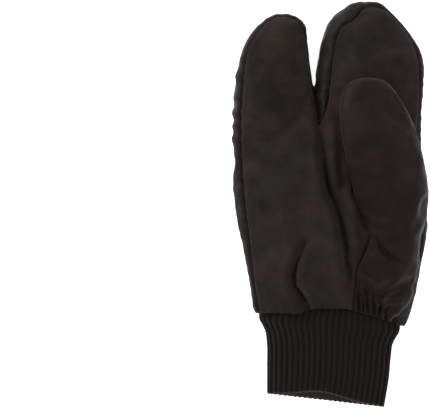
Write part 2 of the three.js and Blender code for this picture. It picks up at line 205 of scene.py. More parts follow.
# Soft folds, each with its side, depth, width and path; a side is palm, back or thumb.
FOLDS = (
    (
        "palm", 8.0, 3.4,
        ((-7.4, 60), (-6, 46), (-5.4, 34), (-1.2, 12), (3.6, -1), (7.6, -14), (10.6, -32), (14.4, -64)),
    ),
    (
        "palm", 2.8, 3.2,
        ((-16, -24), (-20.8, -33), (-25, -42), (-27.4, -51), (-26, -58), (-22, -66), (-16, -90)),
    ),
    ("palm", 4.2, 2.8, ((5.2, 38), (6.6, 20), (8.8, 0), (16, -18))),
    ("palm", 1.1, 7.0, ((-62, 40), (-40, 30), (-14, 24))),
    ("palm", 1.0, 8.0, ((-58, -12), (-36, -4), (-12, 0))),
    ("palm", 0.9, 7.0, ((-46, 96), (-34, 84), (-22, 62))),
    ("palm", 0.8, 7.0, ((20, 128), (30, 116), (40, 104))),
    ("palm", 1.2, 6.0, ((-19, -30), (-10, -18), (2, -12))),
    ("palm", 1.0, 6.0, ((-50, -76), (-40, -70), (-26, -66))),
    ("thumb", 2.2, 3.4, ((31, -72), (43, -64), (60, -54))),
    ("thumb", 1.8, 3.0, ((31, -84), (40, -77), (50, -72))),
    ("thumb", 0.8, 3.6, ((55, -4), (60, -17), (61.6, -34))),
    ("thumb", 0.5, 7.0, ((24, 62), (32, 40), (36, 10))),
    ("thumb", 0.7, 6.0, ((26, -10), (40, -6), (56, -12))),
    ("back", 4.0, 4.0, ((25, 110), (15, 90), (3, 70), (-9, 54))),
    ("back", 2.6, 4.4, ((42, 92), (30, 74), (20, 56))),
    ("back", 3.6, 4.6, ((-46, 32), (-28, 0), (-10, -34), (-6, -58))),
    ("back", 2.8, 5.0, ((36, 40), (16, 10), (8, -26))),
    ("back", 2.6, 4.6, ((-52, 96), (-40, 76), (-20, 58))),
    ("back", 2.4, 5.0, ((-62, 46), (-40, 40), (-16, 46))),
    ("back", 2.2, 5.0, ((56, 4), (40, -20), (34, -46))),
)
# Sharp creases, with the same columns. The skin is cut along them, so their line is crisp.
CREASES = (
    ("palm", 8.0, 3.0, ((-11.2, 96), (-10.8, 86), (-10, 76), (-8.4, 66), (-8.6, 54))),
    ("palm", 1.8, 1.5, ((-12.4, 74), (-9, 71.6), (-5.4, 75))),
    ("palm", 1.8, 1.5, ((-10.6, 65.4), (-7.6, 63.4), (-4.6, 66.4))),
    (
        "palm", 3.0, 2.0,
        ((-6.4, 54), (-6, 34), (-1.6, 12), (3, -1), (7, -13), (9.6, -28), (12, -40), (14.4, -60)),
    ),
    (
        "palm", 5.4, 2.2,
        (
            (-17, -24), (-21.2, -33), (-25, -42), (-28, -50.4),
            (-27, -57), (-23, -64), (-17, -78), (-15.4, -110),
        ),
    ),
    ("thumb", 4.2, 2.0, ((29.6, -22), (33, -27.4), (36, -32), (39.8, -36), (44.4, -39.3), (52, -43))),
    ("thumb", 1.0, 2.4, ((17.6, -45), (26, -51), (38, -59))),
)
FOLD_TAPER = 0.6  # a fold fades at both ends by this power of a half wave
FOLD_ROLL = 0.35  # height of the soft roll beside a fold, as a share of its depth
FOLD_REACH = 16  # farther than this from a fold nothing is pressed in
ROLL_LEFT = 1.5  # the cloth on the left of a crease rolls over it, more than on its right
ROLL_RIGHT = 0.5
# As shares of the width: how wide a crease's roll is, and how far from a soft fold its roll lies
CREASE_ROLL_WIDTH = 2.6
FOLD_ROLL_AWAY = 2.1
# Gathers at the wrist: a side, the place on the hem, how far the pleat runs up, its lean, depth and width
GATHERS = (
    ("thumb", 19.6, 36, -0.5, 4.6, 1.2),
    ("thumb", 23.2, 30, -1.5, 3.8, 1.1),
    ("thumb", 26.8, 35, -2.5, 4.8, 1.25),
    ("thumb", 30.6, 28, -1.0, 4.4, 1.2),
    ("thumb", 34.6, 25, 1.0, 4.4, 1.25),
    ("thumb", 38.8, 18, 3.0, 3.4, 1.3),
    ("thumb", 44.0, 13, 4.0, 2.2, 1.4),
    ("palm", -46, 10, -2, 1.2, 1.8),
    ("palm", -37, 13, -3, 1.1, 2.0),
    ("palm", -6, 12, 2, 1.0, 2.0),
    ("palm", 11, 16, 1, 1.8, 1.8),
    ("back", -48, 16, 5, 3.8, 2.0),
    ("back", -41, 26, 3, 4.4, 2.1),
    ("back", -33, 18, 6, 4.0, 2.0),
    ("back", -25.5, 14, -3, 3.8, 1.9),
    ("back", -18, 28, -6, 4.6, 2.2),
    ("back", -9.5, 16, 4, 3.8, 2.0),
    ("back", -1.5, 22, -4, 4.2, 2.1),
    ("back", 7, 34, -3, 4.6, 2.2),
    ("back", 14.5, 18, 4, 3.8, 1.9),
    ("back", 22, 24, -2, 4.4, 2.1),
    ("back", 30, 30, 3, 4.6, 2.2),
    ("back", 38, 18, 5, 4.0, 2.0),
    ("back", 45, 14, 2, 3.4, 1.9),
)
GATHER_AT_HEM = 0.5  # a gather's depth at the hem, as a share of its full depth
GATHER_FULL = 0.3  # how far up it reaches that depth, as a share of its length
GATHER_BELOW_HEM = 3
GATHER_WIGGLE = 0.5
GATHERED_Y = -48  # below this the heel's skin is twice as fine, for its close gathers
GATHERED_MARGIN = 2  # and as far as this past its seam
HEM_Y = -84.5
HEM_SLANT = -0.085
# How far the palm side's hem is drawn up over the cuff, as columns x and rise
HEM_RISE = (
    (-54, 0.5), (-44, 1.8), (-30, 2.6), (-22, 3.7), (-17.4, 5.8), (-13, 7.2), (0, 8.6),
    (9, 9.6), (16, 8.4), (27, 6.4), (36, 3.8), (49, 1.2), (57, 0.3),
)
HEM_RISE_Y = (-54, -84)
HEM_RISE_Z = (12, 24)  # only the upper layer rises
# Below the fork's tip the two finger sheaths are drawn together.
FORK_X = -11.4
FORK_PINCH = 1.4
FORK_WIDTH = 9
FORK_UPPER_END = (108, 86)
FORK_LOWER_END = (70, 84)

WALLS = {
    "back": 3.6,
    "palm": 2.6,
    "gusset": 2.6,
    "patch": 3.0,
    "thumb_front": 2.6,
    "thumb_back": 2.4,
}

# The fields of seam_fields whose zero lines are seams
SEAMS = ("thumb", "front", "palm", "gusset", "patch")
# The panels with a row of stitches inside their edge, each with the fields that give the distance from the
# edge and the place along it
STITCHED = {"palm": ("palm", "along"), "patch": ("patch", "patch_along")}

# The thumb's nylon runs on over the heel of the hand: its left and right edge there, seen from above
HEEL_EDGES = (
    (-20, 26.6, 65),
    (-30, 23.6, 65.4),
    (-38, 20.2, 66),
    (-44.6, 17.6, 66.4),
    (-50, 17, 66),
    (-63.7, 16.6, 63),
    (-76, 15.8, 60),
    (-92, 15.4, 57),
)
HEEL_TOP_Y = -19  # below this the seams of the heel are those of the table
HEEL_BLEND = 6

# The short bulges at the little finger's side: their height, their pitch and where it is counted from
SIDE_BULGE = 0.7
SIDE_BULGE_PITCH = 11.5
SIDE_BULGE_Y = 91
GROUND_SOFT = 0.9  # lower than this the skin begins to press flat on the ground
FOLD_WALL = 1.0  # a crease deeper than this presses the wall's inner side in too
# Slow unevenness of the padding, as columns size, seed and height
DRIFTS = ((30, 1, 0.4), (11, 2, 0.1))

THREAD = 0.00055  # metres from thread to thread in the nylon
STITCH = 0.0019  # metres from stitch to stitch in the knit
# The row of stitches inside a suede panel's edge, in metres: how far in it lies, its half width and its pitch
SEWN_IN = 0.0021
SEWN_HALF_WIDTH = 0.00045
SEWN_PITCH = 0.0029
WALES_PER_RIB = 2
NYLON_DARK = (0.0062, 0.0026, 0.0027)
NYLON_LIGHT = (0.0106, 0.0052, 0.0054)
SUEDE_DARK = (0.0075, 0.0054, 0.0044)
SUEDE_COOL = (0.0186, 0.0166, 0.0142)
SUEDE_WARM = (0.0242, 0.0146, 0.0132)
SEWING_THREAD = (0.007, 0.005, 0.005)
KNIT_DARK = (0.0026, 0.0014, 0.0013)
KNIT_LIGHT = (0.0150, 0.0102, 0.0094)
# The colour of the painted highlight along the cuff's hem
KNIT_HEM_HIGHLIGHT = (0.046, 0.037, 0.032)
HEM_HIGHLIGHT_INSIDE = 0.15  # on the inside the painted hem highlight reaches further in than outside, by one over this, to lift the shade there

NOISE_RANGE = (0.3, 0.7)  # nearly all of a noise lies between these
# Values of the shader under its own names: satin is the nylon, matt the suede and the knit
SATIN = {"Sheen Weight": 0.085, "Sheen Roughness": 0.3, "Specular IOR Level": 0.11}
MATT = {"Sheen Weight": 0.03, "Sheen Roughness": 0.6, "Specular IOR Level": 0.1}
# The white floor
PAPER = {
    "Base Color": (0.93, 0.93, 0.93, 1),
    "Roughness": 0.9,
    "Specular IOR Level": 0.1,
    "Emission Color": (1, 1, 1, 1),
    "Emission Strength": 0.85,
}

# A panel, the node that it replaces, its material and its slot
PANEL_FINISHES = (
    ("back", "back_panel", "nylon", "shell_nylon"),
    ("palm", "palm_panel", "suede", "palm_suede"),
    ("gusset", "finger_gusset", "nylon", "shell_nylon"),
    ("patch", "index_patch", "suede", "palm_suede"),
    ("thumb_front", "thumb_front", "nylon", "shell_nylon"),
    ("thumb_back", "thumb_back", "suede", "palm_suede"),
)

# The picture: the camera looks straight down at a point beside the mitt, so the mitt is on the right.
PICTURE_X = -82.8
PICTURE_Y = 0.0
PICTURE_WIDTH = 309.6
MIDDLE_Z = 18.0
LENS = 200.0
SENSOR = 36.0
FLOOR_SIZE = 12.0
WORLD_STRENGTH = 0.72
# The lamps, as columns name, place, size and power; places and sizes are metres
LAMPS = (
    ("lamp_left", (-1.3, 0.8, 0.8), 1.0, 21),
    ("lamp_right", (0.9, 0.1, 1.4), 1.2, 9),
)
LAMPS_AIM = (0, 0, 0.02)


def smooth_step(low, high, value):
    t = np.clip((value - low) / (high - low), 0, 1)
    return t * t * (3 - 2 * t)


def bell(away, width):
    """1 at no distance, and next to nothing past twice the width."""
    return np.exp(-((away / width) ** 2))


def unit(vectors):
    return vectors / np.maximum(np.linalg.norm(vectors, axis=-1, keepdims=True), 1e-6)


def distance_along(line):
    """How far along a line each of its points lies."""
    return np.concatenate([[0], np.cumsum(np.linalg.norm(np.diff(line, axis=0), axis=1))])


def edges_of(faces):
    """Every edge of some triangles once, as a row of its two points, the lower one first."""
    return np.unique(np.sort(faces[:, [0, 1, 1, 2, 2, 0]].reshape(-1, 2), axis=1), axis=0)


def squared(value):
    """A signed power, which makes a boxier curve out of a circle."""
    return np.sign(value) * np.abs(value) ** (2 / SQUARENESS)


def smooth_rows(rows, count):
    """Many sections on one smooth curve through the few given ones."""
    rows = np.array(rows, float)
    at = distance_along(rows[:, :3])
    slopes = np.gradient(rows, at, axis=0)
    where = np.linspace(0, at[-1], count)
    before = np.clip(np.searchsorted(at, where) - 1, 0, len(at) - 2)
    span = (at[before + 1] - at[before])[:, None]
    t = (where - at[before])[:, None] / span
    near = (1 + 2 * t) * (1 - t) ** 2 * rows[before] + t * (1 - t) ** 2 * span * slopes[before]
    far = t**2 * (3 - 2 * t) * rows[before + 1] + t**2 * (t - 1) * span * slopes[before + 1]
    return near + far


def section_rings(rows, sides, grow=0):
    """The points of each section: it starts at its right end and goes round over the top."""
    angle = np.linspace(0, 2 * math.pi, sides, endpoint=False)
    y, left, right, top, side, bottom, slant = rows[:, :7].T[:, :, None]
    rise = squared(np.sin(angle))
    reach = np.where(rise > 0, top - side, side - bottom) + grow
    x = (left + right) / 2 + ((right - left) / 2 + grow) * squared(np.cos(angle))
    z = side + reach * rise
    return np.stack([x, y + slant * x, z], axis=2)


def ring_faces(rings, sides):
    """Quads between neighbouring rings, facing out for rings that run towards -Y."""
    ring, side = np.meshgrid(np.arange(rings - 1), np.arange(sides), indexing="ij")
    here = ring * sides + side
    beside = ring * sides + (side + 1) % sides
    return np.stack([here, beside, beside + sides, here + sides], axis=2).reshape(-1, 4)


def add_object(name, data):
    """A new object in the scene that shows the given data."""
    made = bpy.data.objects.new(name, data)
    bpy.context.scene.collection.objects.link(made)
    return made


def mesh_object(name, points, faces):
    """A new mesh object in the scene, from points in millimetres."""
    mesh = bpy.data.meshes.new(name)
    mesh.from_pydata((np.asarray(points) * MM).tolist(), [], [list(map(int, face)) for face in faces])
    mesh.update()
    return add_object(name, mesh)


def tube_object(name, rows):
    """A closed tube through sections."""
    rings = section_rings(rows, SECTION_SIDES)
    faces = ring_faces(len(rings), SECTION_SIDES).tolist()
    last = (len(rings) - 1) * SECTION_SIDES
    tip = list(range(SECTION_SIDES - 1, -1, -1))
    end = list(range(last, last + SECTION_SIDES))
    return mesh_object(name, rings.reshape(-1, 3), faces + [tip, end])


def corners_of(thing):
    """The point at each corner of a mesh's faces."""
    corners = np.empty(len(thing.data.loops), int)
    thing.data.loops.foreach_get("vertex_index", corners)
    return corners


def add_uv_layer(thing, name, places):
    """Gives a mesh a UV layer, with a place for each corner of its faces."""
    thing.data.uv_layers.new(name=name).data.foreach_set("uv", places.ravel())


def select_only(*objects):
    bpy.ops.object.select_all(action="DESELECT")
    for thing in objects:
        thing.select_set(True)
    bpy.context.view_layer.objects.active = objects[0]


def apply_modifiers(thing):
    select_only(thing)
    for modifier in list(thing.modifiers):
        bpy.ops.object.modifier_apply(modifier=modifier.name)


def vectors_of(thing, kind):
    """The place (co) or the normal of each point of a mesh."""
    vectors = np.empty(len(thing.data.vertices) * 3)
    thing.data.vertices.foreach_get(kind, vectors)
    return vectors.reshape(-1, 3)


def points_of(thing):
    """A mesh's points in millimetres."""
    return vectors_of(thing, "co") / MM


def put_points(thing, points):
    thing.data.vertices.foreach_set("co", (points * MM).ravel())
    thing.data.update()


def build_skin():
    """The padded shell as one closed skin: the hand, both finger sheaths and the thumb, run together."""
    hand = tube_object("skin", np.vstack([smooth_rows(HAND, SECTION_RINGS), HAND_HEM]))
    others = [
        tube_object(name, smooth_rows(rows, SECTION_RINGS))
        for name, rows in (("ring", RING_SHEATH), ("index", INDEX_SHEATH), ("thumb", THUMB))
    ]
    select_only(hand, *others)
    bpy.ops.object.join()
    hand.data.remesh_voxel_size = VOXEL * MM
    hand.data.use_remesh_fix_poles = False
    bpy.ops.object.voxel_remesh()
    relax = hand.modifiers.new("Relax", "SMOOTH")
    relax.factor = 0.5
    relax.iterations = 5
    apply_modifiers(hand)
    return hand


def section_at(rows, x, y):
    """left, right, top, side and bottom of a tube's sections, at each point's place along the tube."""
    rows = np.array(rows, float)[::-1]
    slant = np.interp(y, rows[:, 0], rows[:, 6])
    level = y - slant * x
    return [np.interp(level, rows[:, 0], rows[:, column]) for column in range(1, 6)]


def outside_of(rows, points):
    """About how far points lie outside a tube of sections; it is negative inside."""
    x, y, z = points.T
    left, right, top, side, bottom = section_at(rows, x, y)
    across = x - (left + right) / 2
    reach = np.where(z > side, top - side, side - bottom)
    shape = np.abs(across / ((right - left) / 2)) ** SQUARENESS + np.abs((z - side) / reach) ** SQUARENESS
    radius = np.maximum(shape ** (1 / SQUARENESS), 1e-3)
    beyond_tip = np.maximum(y - rows[0][0], 0)
    return np.hypot(across, z - side) * (1 - 1 / radius) + beyond_tip


def height_over(rows, x, y):
    """Height of a tube's upper side at places seen from above."""
    left, right, top, side, _ = section_at(rows, x, y)
    across = np.clip(np.abs((x - (left + right) / 2) / ((right - left) / 2)), 0, 1)
    return side + (top - side) * (1 - across**SQUARENESS) ** (1 / SQUARENESS)


def near_line(x, y, line):
    """Distance to a line seen from above, and how far along it the nearest point is.

    The third value is 1 on the left of the line and -1 on its right.
    """
    line = np.array(line, float)
    best = np.full(len(x), np.inf)
    along = np.zeros(len(x))
    hand = np.ones(len(x))
    start = 0.0
    for (ax, ay), (bx, by) in zip(line[:-1], line[1:]):
        length = math.hypot(bx - ax, by - ay)
        t = np.clip(((x - ax) * (bx - ax) + (y - ay) * (by - ay)) / length**2, 0, 1)
        away = np.hypot(x - ax - t * (bx - ax), y - ay - t * (by - ay))
        closer = away < best
        best = np.where(closer, away, best)
        along = np.where(closer, start + t * length, along)
        left = (bx - ax) * (y - ay) >= (by - ay) * (x - ax)
        hand = np.where(closer, np.where(left, 1.0, -1.0), hand)
        start += length
    return best, along, hand


def curve_through(line, closed=False, step=2.0):
    """A finer line on one smooth curve through the given points."""
    line = np.array(line, float)
    if closed:
        line = np.vstack([line[-2:], line, line[:3]])
    steps = np.linalg.norm(np.diff(line, axis=0), axis=1)
    rows = smooth_rows(np.hstack([line, np.zeros((len(line), 1))]), int(steps.sum() / step))[:, :2]
    if closed:
        starts = np.linalg.norm(rows - line[2], axis=1)
        ends = np.linalg.norm(rows - line[-3], axis=1)
        middle = len(rows) // 2
        rows = rows[np.argmin(starts[:middle]) : middle + np.argmin(ends[middle:])]
    return rows


def inside_outline(x, y, outline):
    """Signed distance to a closed outline seen from above, positive inside, and the place along it."""
    curve = curve_through(outline, closed=True)
    closed = np.vstack([curve, curve[:1]])
    away, along, _ = near_line(x, y, closed)
    inside = np.zeros(len(x), bool)
    for (ax, ay), (bx, by) in zip(closed[:-1], closed[1:]):
        if ay == by:
            continue
        crosses = (ay > y) != (by > y)
        inside ^= crosses & (x < ax + (y - ay) * (bx - ax) / (by - ay))
    return np.where(inside, away, -away), along


def seam_fields(points):
    """How far each point lies inside the thumb, its front, the palm, the gusset and the patch.

    along and patch_along are its place along the outlines of the palm and the patch.
    """
    x, y, z = points.T
    hand = np.min([outside_of(rows, points) for rows in (HAND, RING_SHEATH, INDEX_SHEATH)], axis=0)
    thumb = hand - outside_of(THUMB, points)
    heel = np.array(HEEL_EDGES, float)
    level = y - HEM_SLANT * x
    left, right = (np.interp(-level, -heel[:, 0], heel[:, column]) for column in (1, 2))
    on_heel = np.minimum(np.minimum(x - left, right - x), z - PALM_LOW_Z)
    low = smooth_step(HEEL_TOP_Y + HEEL_BLEND / 2, HEEL_TOP_Y - HEEL_BLEND / 2, y)
    thumb = (1 - low) * thumb + low * on_heel
    seam = np.array(THUMB_SEAM, float)
    palm, along = inside_outline(x, y, PALM_OUTLINE)
    gusset = inside_outline(x, y, GUSSET_OUTLINE)[0]
    patch, patch_along = inside_outline(x, y, PATCH_OUTLINE)
    return {
        "thumb": thumb,
        "front": z - np.interp(y, seam[:, 0], seam[:, 1]),
        "palm": np.minimum(palm, z - PALM_LOW_Z),
        "gusset": np.minimum(gusset, z - GUSSET_LOW_Z),
        "patch": np.minimum(patch, PATCH_HIGH_Z - z),
        "along": along,
        "patch_along": patch_along,
    }


def seam_distance(fields):
    """Distance to the nearest seam that is really sewn there."""
    thumb, front, palm = fields["thumb"], fields["front"], fields["palm"]
    gusset, patch = fields["gusset"], fields["patch"]
    away = np.abs(thumb)
    on_thumb = thumb > 0
    away = np.where(on_thumb, np.minimum(away, np.abs(front)), away)
    away = np.where(on_thumb, away, np.minimum(away, np.abs(palm)))
    bare = ~on_thumb & (palm < 0)
    away = np.where(bare, np.minimum(away, np.abs(gusset)), away)
    bare &= gusset < 0
    return np.where(bare, np.minimum(away, np.abs(patch)), away)


def neighbour_mean(values, edges, passes):
    """Evens out a value over the skin, from neighbour to neighbour."""
    count = np.maximum(np.bincount(edges.ravel(), minlength=len(values)), 1)
    for _ in range(passes):
        total = np.bincount(edges[:, 0], values[edges[:, 1]], len(values))
        total += np.bincount(edges[:, 1], values[edges[:, 0]], len(values))
        values = 0.5 * values + 0.5 * total / count
    return values


def puff(skin, held):
    """Swells the skin between its seams, which hold still, and caps how far it moves."""
    before = points_of(skin)
    group = skin.vertex_groups.new(name="held")
    for index, weight in enumerate(held.tolist()):
        if weight > 0.01:
            group.add([index], weight, "REPLACE")
    cloth = skin.modifiers.new("Puff", "CLOTH")
    cloth.settings.quality = 5
    cloth.settings.mass = 0.3
    cloth.settings.use_pressure = True
    cloth.settings.uniform_pressure_force = PUFF_PRESSURE
    cloth.settings.shrink_min = -PUFF_SLACK
    cloth.settings.vertex_group_mass = "held"
    cloth.settings.pin_stiffness = 1
    cloth.settings.effector_weights.gravity = 0
    cloth.point_cache.frame_start = 1
    cloth.point_cache.frame_end = PUFF_FRAMES
    for step in range(1, PUFF_FRAMES + 1):
        bpy.context.scene.frame_set(step)
    apply_modifiers(skin)
    bpy.context.scene.frame_set(1)
    moved = points_of(skin) - before
    edges = np.array([edge.vertices[:] for edge in skin.data.edges])
    moved = np.stack([neighbour_mean(axis, edges, PUFF_EVENING) for axis in moved.T], axis=1)
    length = np.maximum(np.linalg.norm(moved, axis=1), 1e-6)
    put_points(skin, before + moved * np.minimum(1, PUFF_CAP / length)[:, None])
    skin.vertex_groups.clear()


def let_thumb_down(points, normals, on_thumb):
    """Lets the thumb's underside down until it rests on the palm."""
    x, y, z = points.T
    palm = np.max([height_over(rows, x, y) for rows in (HAND, INDEX_SHEATH)], axis=0)
    palm = np.maximum(palm, THUMB_LOWEST)
    facing_down = smooth_step(0.1, -0.5, normals[:, 2]) * on_thumb * smooth_step(*THUMB_FREE_Y, y)
    lowered = points.copy()
    lowered[:, 2] = z + facing_down * (np.minimum(palm + THUMB_REST_GAP, z) - z)
    return lowered


def arch_hem(points):
    """Draws the palm side's hem up over the middle of the cuff."""
    x, y, z = points.T
    across, rises = smooth_rows(HEM_RISE, 80).T
    rise = np.interp(x, across, rises) * smooth_step(*HEM_RISE_Z, z) * smooth_step(*HEM_RISE_Y, y)
    return points + np.stack([0 * x, rise, 0 * x], axis=1)


def close_fork(points):
    """Draws the two finger sheaths together where they meet."""
    x, y, _ = points.T
    across = x - FORK_X
    pull = FORK_PINCH * smooth_step(*FORK_UPPER_END, y) * smooth_step(*FORK_LOWER_END, y)
    shift = -pull * np.tanh(across / 1.2) * bell(across, FORK_WIDTH)
    return points + np.stack([shift, 0 * x, 0 * x], axis=1)


def fold_paths():
    """Every fold: its side, points, depth and width at every point, whether it is sharp, and its roll."""
    paths = []
    for table, sharp in ((FOLDS, False), (CREASES, True)):
        for side, depth, width, line in table:
            fine = curve_through(line)
            taper = np.sin(math.pi * np.linspace(0, 1, len(fine))) ** FOLD_TAPER
            paths.append((side, fine, depth * taper, np.full(len(fine), float(width)), sharp, FOLD_ROLL))
    return paths


def gather_paths():
    """The gathers at the wrist, with the same columns; they have no roll beside them."""
    paths = []
    for side, x, length, lean, depth, width in GATHERS:
        t = np.linspace(0, 1, 16)
        hem = HEM_Y + HEM_SLANT * x - GATHER_BELOW_HEM
        wiggle = GATHER_WIGGLE * np.sin(6 * t + x)
        line = np.stack([x + lean * t**1.5 + wiggle * t, hem + length * t], axis=1)
        # They are shallow at the hem, where the turned-in cloth lies right behind them.
        deep = GATHER_AT_HEM + (1 - GATHER_AT_HEM) * smooth_step(0, GATHER_FULL, t)
        paths.append((side, line, depth * deep * (1 - t**2), width * (1 + 0.25 * t), False, 0.0))
    return paths


def fold_relief(points, sides, paths):
    """How far each point is pressed in by the folds: a groove with a soft roll on either side."""
    x, y, _ = points.T
    relief = np.zeros(len(points))
    for side, line, depths, widths, sharp, softness in paths:
        near = np.flatnonzero(sides[side] > 0.02)
        low, high = line.min(0) - FOLD_REACH, line.max(0) + FOLD_REACH
        near = near[(x[near] > low[0]) & (x[near] < high[0]) & (y[near] > low[1]) & (y[near] < high[1])]
        away, along, hand = near_line(x[near], y[near], line)
        lengths = distance_along(line)
        depth = np.interp(along, lengths, depths) * sides[side][near]
        width = np.interp(along, lengths, widths)
        if sharp:
            groove = np.exp(-away / width)
            share = np.where(hand > 0, ROLL_LEFT, ROLL_RIGHT)
            roll = share * (1 - groove) * bell(away / CREASE_ROLL_WIDTH, width)
        else:
            groove = bell(away, width)
            roll = bell(away - FOLD_ROLL_AWAY * width, width)
        relief[near] += depth * (softness * roll - groove)
    return relief


def crease_distance(points, normals):
    """Signed distance to the nearest sharp fold on a point's side of the shell, up to CREASE_REACH."""
    x, y, _ = points.T
    facing_up = normals[:, 2] > 0
    signed = np.full(len(points), CREASE_REACH)
    for side, line, _, _, sharp, _ in fold_paths():
        if not sharp:
            continue
        away, _, hand = near_line(x, y, line)
        closer = (away < np.abs(signed)) & (facing_up == (side != "back"))
        signed = np.where(closer, away * hand, signed)
    return signed


def pressed_flat(points, soft):
    """What would go below the ground lies flat on it."""
    flat = points.copy()
    low = points[:, 2]
    flat[:, 2] = np.where(low < soft, soft * np.exp((low - soft) / soft / 2.2), low)
    return flat


def drift(points, scale, seed):
    """Slow, seeded noise over the skin, from about -1 to 1."""
    shift = Vector((seed * 7.3, seed * 3.1, seed * 5.7))
    return np.array([noise.noise(Vector(point) / scale + shift) for point in points.tolist()]) * 1.6


def split_along(table, faces, column, level=0.0):
    """Cuts every triangle that a column's level line crosses, so that the line runs along edges.

    The table holds a row for each point: its place first, then anything else that is to be carried along.
    """

    def crossed_edges():
        height = table[:, column] - level
        crossed = (np.sign(height[faces]).min(axis=1) < 0) & (np.sign(height[faces]).max(axis=1) > 0)
        a, b = edges_of(faces[crossed]).T
        crossed = height[a] * height[b] < 0
        a, b = a[crossed], b[crossed]
        return a, b, height[a] / (height[a] - height[b])

    a, b, share = crossed_edges()
    mixed = table[a] + share[:, None] * (table[b] - table[a])
    for corner, near in ((a, share < SNAP), (b, share > 1 - SNAP)):
        table[corner[near]] = mixed[near]
        table[corner[near], column] = level
    a, b, share = crossed_edges()
    mixed = table[a] + share[:, None] * (table[b] - table[a])
    mixed[:, column] = level
    return cut_edges(table, faces, a, b, mixed)


def cut_edges(table, faces, a, b, mixed):
    """Puts a new point on each edge from a to b, which come sorted, and cuts the triangles beside it."""
    count = len(table)
    keys = a * count + b

    def middle_of(first, second):
        key = np.minimum(first, second) * count + np.maximum(first, second)
        at = np.clip(np.searchsorted(keys, key), 0, max(len(keys) - 1, 0))
        return np.where(keys[at] == key, count + at, -1) if len(keys) else np.full(len(key), -1)

    middles = np.stack([middle_of(faces[:, k], faces[:, (k + 1) % 3]) for k in range(3)], axis=1)
    table = np.vstack([table, mixed])
    cuts = (middles >= 0).sum(axis=1)
    kept = [faces[cuts == 0]]
    for k in range(3):
        turned, mids = np.roll(faces, -k, axis=1), np.roll(middles, -k, axis=1)
        one = (cuts == 1) & (mids[:, 0] >= 0)
        v, m = turned[one], mids[one, 0]
        kept += [np.stack([v[:, 0], m, v[:, 2]], 1), np.stack([m, v[:, 1], v[:, 2]], 1)]
        two = (cuts == 2) & (mids[:, 0] < 0)
        v, m = turned[two], mids[two]
        kept.append(np.stack([v[:, 0], v[:, 1], m[:, 1]], 1))
        kept.append(np.stack([v[:, 0], m[:, 1], m[:, 2]], 1))
        kept.append(np.stack([m[:, 2], m[:, 1], v[:, 2]], 1))
        three = cuts == 3
        kept.append(np.stack([turned[three, 0], mids[three, 0], mids[three, 2]], 1))
    kept.append(middles[cuts == 3])
    return table, np.vstack(kept)


def halve_edges(table, faces, chosen):
    """Cuts the chosen triangles in four, and the ones beside them to fit."""
    a, b = edges_of(faces[chosen]).T
    return cut_edges(table, faces, a, b, (table[a] + table[b]) / 2)


def shell_table(skin, rest):
    """The skin as triangles, and a table with a row for each point.

    A row holds its place, its normal, the seam fields and the distance to a crease.
    """
    points, normals = points_of(skin), vectors_of(skin, "normal")
    fields = seam_fields(rest)
    edges = np.array([edge.vertices[:] for edge in skin.data.edges])
    fields["thumb"] = neighbour_mean(fields["thumb"], edges, 4)
    skin.data.calc_loop_triangles()
    faces = np.array([triangle.vertices[:] for triangle in skin.data.loop_triangles])
    crease = crease_distance(points, normals)[:, None]
    table = np.hstack([points, normals, np.stack(list(fields.values()), axis=1), crease])
    columns = {name: 6 + index for index, name in enumerate(fields)}
    middle = table[faces].mean(axis=1)
    heel = (middle[:, columns["thumb"]] > -GATHERED_MARGIN) & (middle[:, 1] < GATHERED_Y) & (middle[:, 5] > 0)
    table, faces = halve_edges(table, faces, heel)
    # Rows of points beside each crease and seam keep its groove crisp.
    for level in (-CREASE_ROW, CREASE_ROW, 0):
        table, faces = split_along(table, faces, table.shape[1] - 1, level)
    for level in (-SEAM_WIDTH, SEAM_WIDTH, 0):
        for name in SEAMS:
            table, faces = split_along(table, faces, columns[name], level)
    return table, faces, columns


